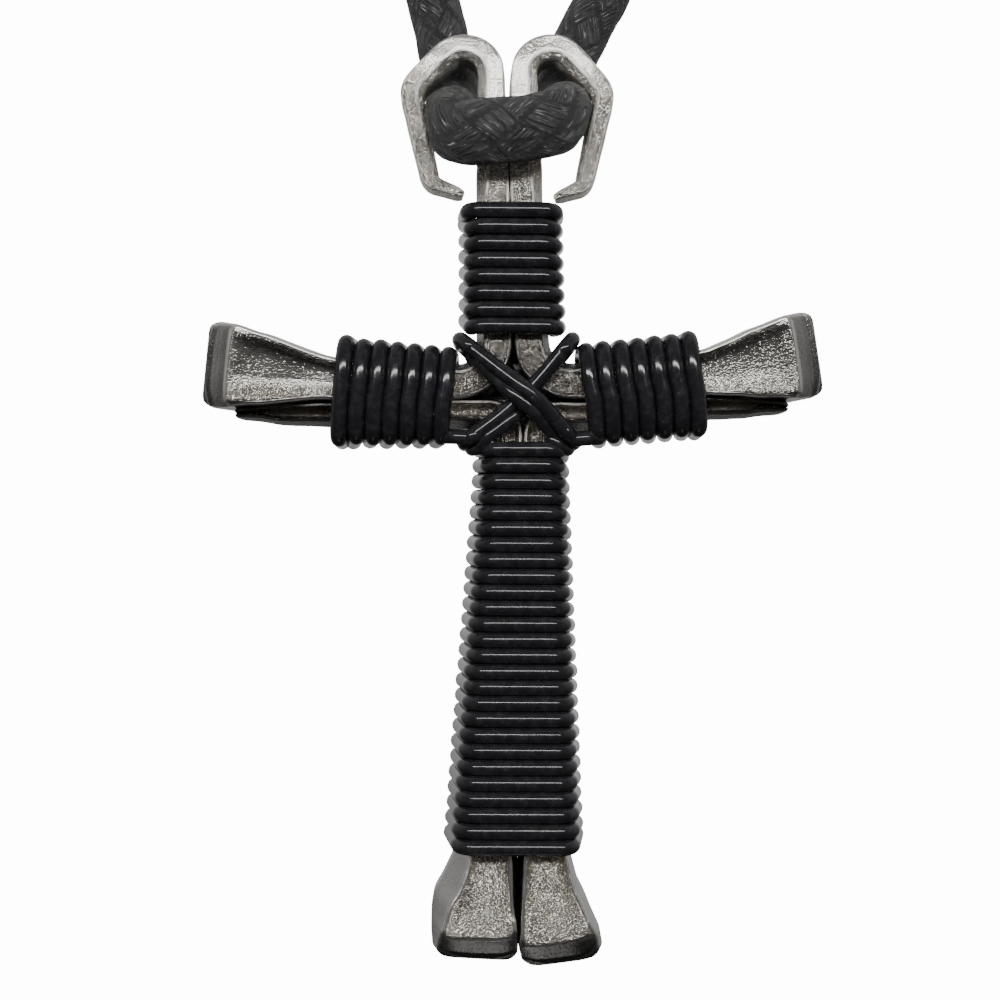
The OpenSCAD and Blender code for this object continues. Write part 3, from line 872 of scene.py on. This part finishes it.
# %% Shader maths as expressions
class Value:
    """One number at each point of a surface, as the output socket of a node. A sum, difference or product of
    two, or of one and a plain number, adds a Math node."""

    def __init__(self, finish, socket):
        self.finish = finish
        self.socket = socket

    def maths(self, operation, *others, clamp=False):
        """A Math node of that operation on these values, in their order."""
        node = self.finish.tree.nodes.new("ShaderNodeMath")
        node.operation = operation
        node.use_clamp = clamp
        for socket, other in zip(node.inputs, others):
            self.finish.give(socket, other)
        return Value(self.finish, node.outputs[0])

    def __add__(self, other):
        return self.maths("ADD", self, other)

    def __radd__(self, other):
        return self.maths("ADD", other, self)

    def __sub__(self, other):
        return self.maths("SUBTRACT", self, other)

    def __rsub__(self, other):
        return self.maths("SUBTRACT", other, self)

    def __mul__(self, other):
        return self.maths("MULTIPLY", self, other)

    def __rmul__(self, other):
        return self.maths("MULTIPLY", other, self)

    def clamped(self):
        """Kept between 0 and 1."""
        return self.maths("ADD", self, 0.0, clamp=True)

    def between(self, low, high):
        """0 at low and below, 1 at high and above, straight between."""
        return ((self - low) * (1 / (high - low))).clamped()


class Finish:
    """A material, with one method that adds any node."""

    def __init__(self, name):
        self.material = bpy.data.materials.new(name)
        self.material.use_nodes = True
        self.tree = self.material.node_tree
        self.tree.nodes.clear()
        self.shader = self.tree.nodes.new("ShaderNodeBsdfPrincipled")
        output = self.tree.nodes.new("ShaderNodeOutputMaterial")
        self.tree.links.new(self.shader.outputs["BSDF"], output.inputs["Surface"])

    def give(self, socket, value):
        """Links a value or a socket to that socket, or sets it to a number or a colour."""
        if isinstance(value, Value):
            self.tree.links.new(value.socket, socket)
        elif hasattr(value, "is_output"):
            self.tree.links.new(value, socket)
        elif socket.type == "RGBA" and len(value) == 3:
            socket.default_value = (*value, 1)
        else:
            socket.default_value = value

    def node(self, kind, settings=None, **inputs):
        """A node of that kind. Its settings are set first, then its inputs, by their names."""
        node = self.tree.nodes.new("ShaderNode" + kind)
        for key, value in (settings or {}).items():
            setattr(node, key, value)
        for key, value in inputs.items():
            name = key.replace("_", " ")
            matching = [s for s in node.inputs if s.name == name and s.enabled]
            self.give(matching[0], value)
        return Value(self, [s for s in node.outputs if s.enabled][0])

    def millimetres(self):
        """The place on the piece, in millimetres: Object coordinates times a thousand."""
        coordinates = self.tree.nodes.new("ShaderNodeTexCoord").outputs["Object"]
        return self.node("Mapping", Vector=coordinates, Scale=(1000, 1000, 1000)).socket

    def noise(self, vector, scale, detail=2.0, rough=0.5):
        """A noise with that many waves to a unit."""
        return self.node("TexNoise", Vector=vector, Scale=scale, Detail=detail, Roughness=rough)

    def blend(self, factor, first, second):
        """One colour to another as the factor goes from 0 to 1."""
        mix = self.tree.nodes.new("ShaderNodeMix")
        mix.data_type = "RGBA"
        self.give(mix.inputs[0], factor)
        self.give(mix.inputs[6], first)
        self.give(mix.inputs[7], second)
        return mix.outputs[2]

    def bump(self, height, distance, strength=1.0):
        """The surface tilted as if height times distance, in metres, stood out from it."""
        node = self.tree.nodes.new("ShaderNodeBump")
        node.inputs["Strength"].default_value = strength
        node.inputs["Distance"].default_value = distance
        self.give(node.inputs["Height"], height)
        return node.outputs["Normal"]

    def attribute(self, name, output):
        """What the points of the mesh carry under that name."""
        node = self.tree.nodes.new("ShaderNodeAttribute")
        node.attribute_name = name
        return node.outputs[output]

    def mark(self, name):
        """The same, where it is one number."""
        return Value(self, self.attribute(name, "Fac"))

    def set(self, **values):
        """Sets or links the shader's own sockets, by their names."""
        for key, value in values.items():
            self.give(self.shader.inputs[key.replace("_", " ")], value)


print("finishes can be written as expressions")

# %% [markdown]
# ### Forged steel
#
# The nails have a grain a few tenths of a millimetre wide, and pits that hold dirt. Grain and pits drive a
# bump, so they catch the light, and the same values darken the colour. The steel has no scale on the faces of
# the heads and on the loops, which are also polished by wear. Its rims and edges are painted lighter, partly
# wear and partly a painted highlight. Across the heads' faces a painted light and shade makes some parts
# darker than others. Elsewhere a smooth grey scale covers it, and a black painted shade, with some dirt,
# fills the crossing and the hidden tips.

# %% The nails' finish
BRIGHT_STEEL = (0.97, 0.92, 0.82)
DARK_STEEL = (0.17, 0.16, 0.14)
# The grey of the scale, which across the heads' faces also serves as painted shade.
GREY_SCALE_AND_SHADE = (0.33, 0.328, 0.318)
# Worn steel for the polished loops, also used as a painted highlight on edges and rim.
WORN_STEEL_AND_HIGHLIGHT = (0.8, 0.78, 0.74)
# A painted shade with some dirt, for the crossing and the hidden tips, and dirt for the pits.
BLACK_GRIME_AND_SHADE = (0.06, 0.057, 0.052)


def forged_steel():
    """Dirt is mostly the fine noise, cut to two tones. Each mark then lays its own colour over the last."""
    f = Finish("forged_steel")
    mm = f.millimetres()
    polish, edge, grime_and_shade, bare_and_lit = (f.mark(name) for name in ("polish", "edge", "grime_and_shade", "bare_and_lit"))
    grain = f.noise(mm, 3.8, 2.0, 0.6)
    fine = f.noise(mm, 6.8, 2.0, 0.6)
    patches = f.noise(mm, 0.55, 3.0, 0.6)
    worn = f.noise(mm, 0.45, 0.0, 0.5)
    grainy = (1 - polish * 0.65) * (0.6 + bare_and_lit * 0.4)
    sparkling = (1 - polish * 0.65) * (0.12 + bare_and_lit * 0.88)
    pits = 1 - f.node("TexVoronoi", settings={"feature": "F1"}, Vector=mm, Scale=3.0).between(0.05, 0.3)
    dirt = (patches.between(0.4, 0.7) * 0.2 + fine.between(0.42, 0.58) * 0.8) * grainy
    colour = f.blend(dirt, BRIGHT_STEEL, DARK_STEEL)
    # Grey scale where the steel has scale; on the heads' faces this also paints their shade.
    colour = f.blend((1 - bare_and_lit) * 0.85, colour, GREY_SCALE_AND_SHADE)
    # Polish lightens the loops by wear; the edges and rim are lighter partly by wear and partly as a painted
    # highlight.
    colour = f.blend((polish * 0.6 + edge * 0.9).clamped(), colour, WORN_STEEL_AND_HIGHLIGHT)
    # The crossing and the hidden tips take a painted shade with some dirt; the pits take dirt.
    colour = f.blend((grime_and_shade * 0.8 + pits * grainy * 0.25).clamped(), colour, BLACK_GRIME_AND_SHADE)
    height = grain * 0.45 + fine * 0.55 - pits * 0.3
    f.set(
        Base_Color=colour,
        Metallic=1.0,
        Roughness=0.25 + edge * 0.08,
        Normal=f.bump(height * sparkling + worn * (0.3 + polish * 0.6), 0.0003),
    )
    return f.material


steel = forged_steel()
for nail in nails:
    nail.data.materials.append(steel)
print("steel on", len(nails), "nails")

# %% [markdown]
# ### Enamelled wire
#
# The wire's black enamel is smooth and glossy, so a thin bright line runs along every turn. Handling has
# left faint rubbed patches, and small scratches show the grey metal.

# %% The wire's finish
def black_enamel():
    """Rubbed patches are a soft noise, and specks of grey metal show only inside them."""
    f = Finish("black_enamel")
    mm = f.millimetres()
    rubbed = f.noise(mm, 1.4, 3.0, 0.65)
    specks = f.noise(mm, 6.5, 2.0, 0.7).between(0.7, 0.76)
    colour = f.blend(rubbed.between(0.45, 0.75), (0.014, 0.014, 0.016), (0.03, 0.03, 0.033))
    colour = f.blend(specks * rubbed.between(0.5, 0.65), colour, (0.22, 0.22, 0.21))
    f.set(
        Base_Color=colour,
        Roughness=0.11 + rubbed.between(0.4, 0.8) * 0.1,
        IOR=1.45,
        Normal=f.bump(rubbed, 0.000015, 0.5),
    )
    return f.material


enamel = black_enamel()
for wire in wraps + crossed:
    wire.data.materials.append(enamel)
print("enamel on", len(wraps + crossed), "wires")

# %% [markdown]
# ### Waxed cord
#
# Each strand of the braid is a bundle of fibres under wax. The mesh carries, at every point, the place
# across and along its strand, so a noise stretched along the strand draws the fibres whichever way it winds.

# %% The cord's finish
def waxed_braid():
    """Threads are the stretched noise. Painted glints, light specks that stand in for highlights on the wax,
    are its peaks within patches of the wax noise.
    """
    f = Finish("waxed_braid")
    fibre = f.attribute("fibre", "Vector")
    stretched = f.node("Mapping", Vector=fibre, Scale=(13.0, 2.0, 3.7)).socket
    threads = f.noise(stretched, 1.3, 4.0, 0.65)
    mm = f.millimetres()
    wax = f.noise(mm, 1.1, 3.0, 0.6)
    painted_glints = f.noise(stretched, 2.2, 2.0, 0.6).between(0.6, 0.7) * wax.between(0.42, 0.6)
    colour = f.blend(threads.between(0.36, 0.68), (0.004, 0.004, 0.0045), (0.1, 0.1, 0.105))
    # Painted highlight: light specks for the glints on the wax.
    colour = f.blend(painted_glints, colour, (0.75, 0.75, 0.76))
    f.set(
        Base_Color=colour,
        Roughness=0.3 + wax.between(0.35, 0.7) * 0.3,
        Sheen_Weight=0.05,
        Sheen_Roughness=0.4,
        Normal=f.bump(threads, 0.0004),
    )
    return f.material


waxed = waxed_braid()
for piece in (cord, knot):
    piece.data.materials.append(waxed)
print("wax on the cord and its knot")

# %% [markdown]
# ## The studio
#
# A small pale floor lies far below, so it never enters the front view. One soft light above and in front,
# wide but low, draws the thin bright line on each wire and lights the loops' tops. A piece shown on white
# still needs something darker to reflect, or its black would turn grey. So the world is white where it is
# seen directly, and for the light that falls on the piece it goes from nearly black in front and below to
# pale behind and above.

# %% Floor
FLOOR_LEVEL = -0.9
FLOOR_REACH = 0.12
square = np.array([[-1, -1], [1, -1], [1, 1], [-1, 1]]) * FLOOR_REACH
floor_mesh = bpy.data.meshes.new("floor")
floor_mesh.from_pydata([(x, y, FLOOR_LEVEL) for x, y in square.tolist()], [], [(0, 1, 2, 3)])
floor = bpy.data.objects.new("floor", floor_mesh)
bpy.context.scene.collection.objects.link(floor)
pale = Finish("pale_floor")
pale.set(Base_Color=(0.9, 0.9, 0.9), Roughness=0.9)
floor_mesh.materials.append(pale.material)
print("the floor lies", -FLOOR_LEVEL, "m below the nape")

# %% Lights
def soft_light(name, position, target, size, watts):
    """A flat light of that width and height in metres, turned from its position to its target."""
    data = bpy.data.lights.new(name, "AREA")
    data.shape = "RECTANGLE"
    data.size, data.size_y = size
    data.energy = watts
    light = bpy.data.objects.new(name, data)
    light.location = in_frame(position)
    aim = Vector(in_frame(target)) - Vector(in_frame(position))
    light.rotation_euler = aim.to_track_quat("-Z", "Y").to_euler()
    bpy.context.scene.collection.objects.link(light)
    return light


above = soft_light("above", (0, -325, 130), (0, 0, -10), (0.55, 0.035), 1.6)
print("the light gives", above.data.energy, "W")

# %% World
WHITE_SEEN = 14
world = bpy.data.worlds.new("studio")
world.use_nodes = True
tree = world.node_tree
background = tree.nodes["Background"]
direction = tree.nodes.new("ShaderNodeSeparateXYZ")
tree.links.new(tree.nodes.new("ShaderNodeTexCoord").outputs["Generated"], direction.inputs[0])


def along_axis(axis, low, high, dimmest, brightest):
    """Brightness that rises smoothly from dimmest to brightest as the direction's part goes low to high."""
    ramp = tree.nodes.new("ShaderNodeMapRange")
    ramp.interpolation_type = "SMOOTHSTEP"
    for socket, value in zip(ramp.inputs[1:5], (low, high, dimmest, brightest)):
        socket.default_value = value
    tree.links.new(direction.outputs[axis], ramp.inputs["Value"])
    return ramp.outputs["Result"]


def combine(operation, first, second):
    """A Math node of that operation on two sockets."""
    node = tree.nodes.new("ShaderNodeMath")
    node.operation = operation
    tree.links.new(first, node.inputs[0])
    tree.links.new(second, node.inputs[1])
    return node.outputs[0]


around = combine("ADD", along_axis("Y", -0.5, 0.25, 0.1, 0.52), along_axis("Y", 0.6, 0.95, 0.0, 0.3))
brightness = combine("MULTIPLY", around, along_axis("Z", -0.7, 0.4, 0.08, 1.15))
tree.links.new(brightness, background.inputs["Strength"])
white = tree.nodes.new("ShaderNodeBackground")
white.inputs["Strength"].default_value = WHITE_SEEN
seen = tree.nodes.new("ShaderNodeLightPath").outputs["Is Camera Ray"]
choice = tree.nodes.new("ShaderNodeMixShader")
tree.links.new(seen, choice.inputs[0])
tree.links.new(background.outputs[0], choice.inputs[1])
tree.links.new(white.outputs[0], choice.inputs[2])
tree.links.new(choice.outputs[0], tree.nodes["World Output"].inputs["Surface"])
for shade in (background, white):
    shade.inputs["Color"].default_value = (1, 1, 1, 1)
bpy.context.scene.world = world
print("the world is white behind, and lights the piece from dark below to pale above")
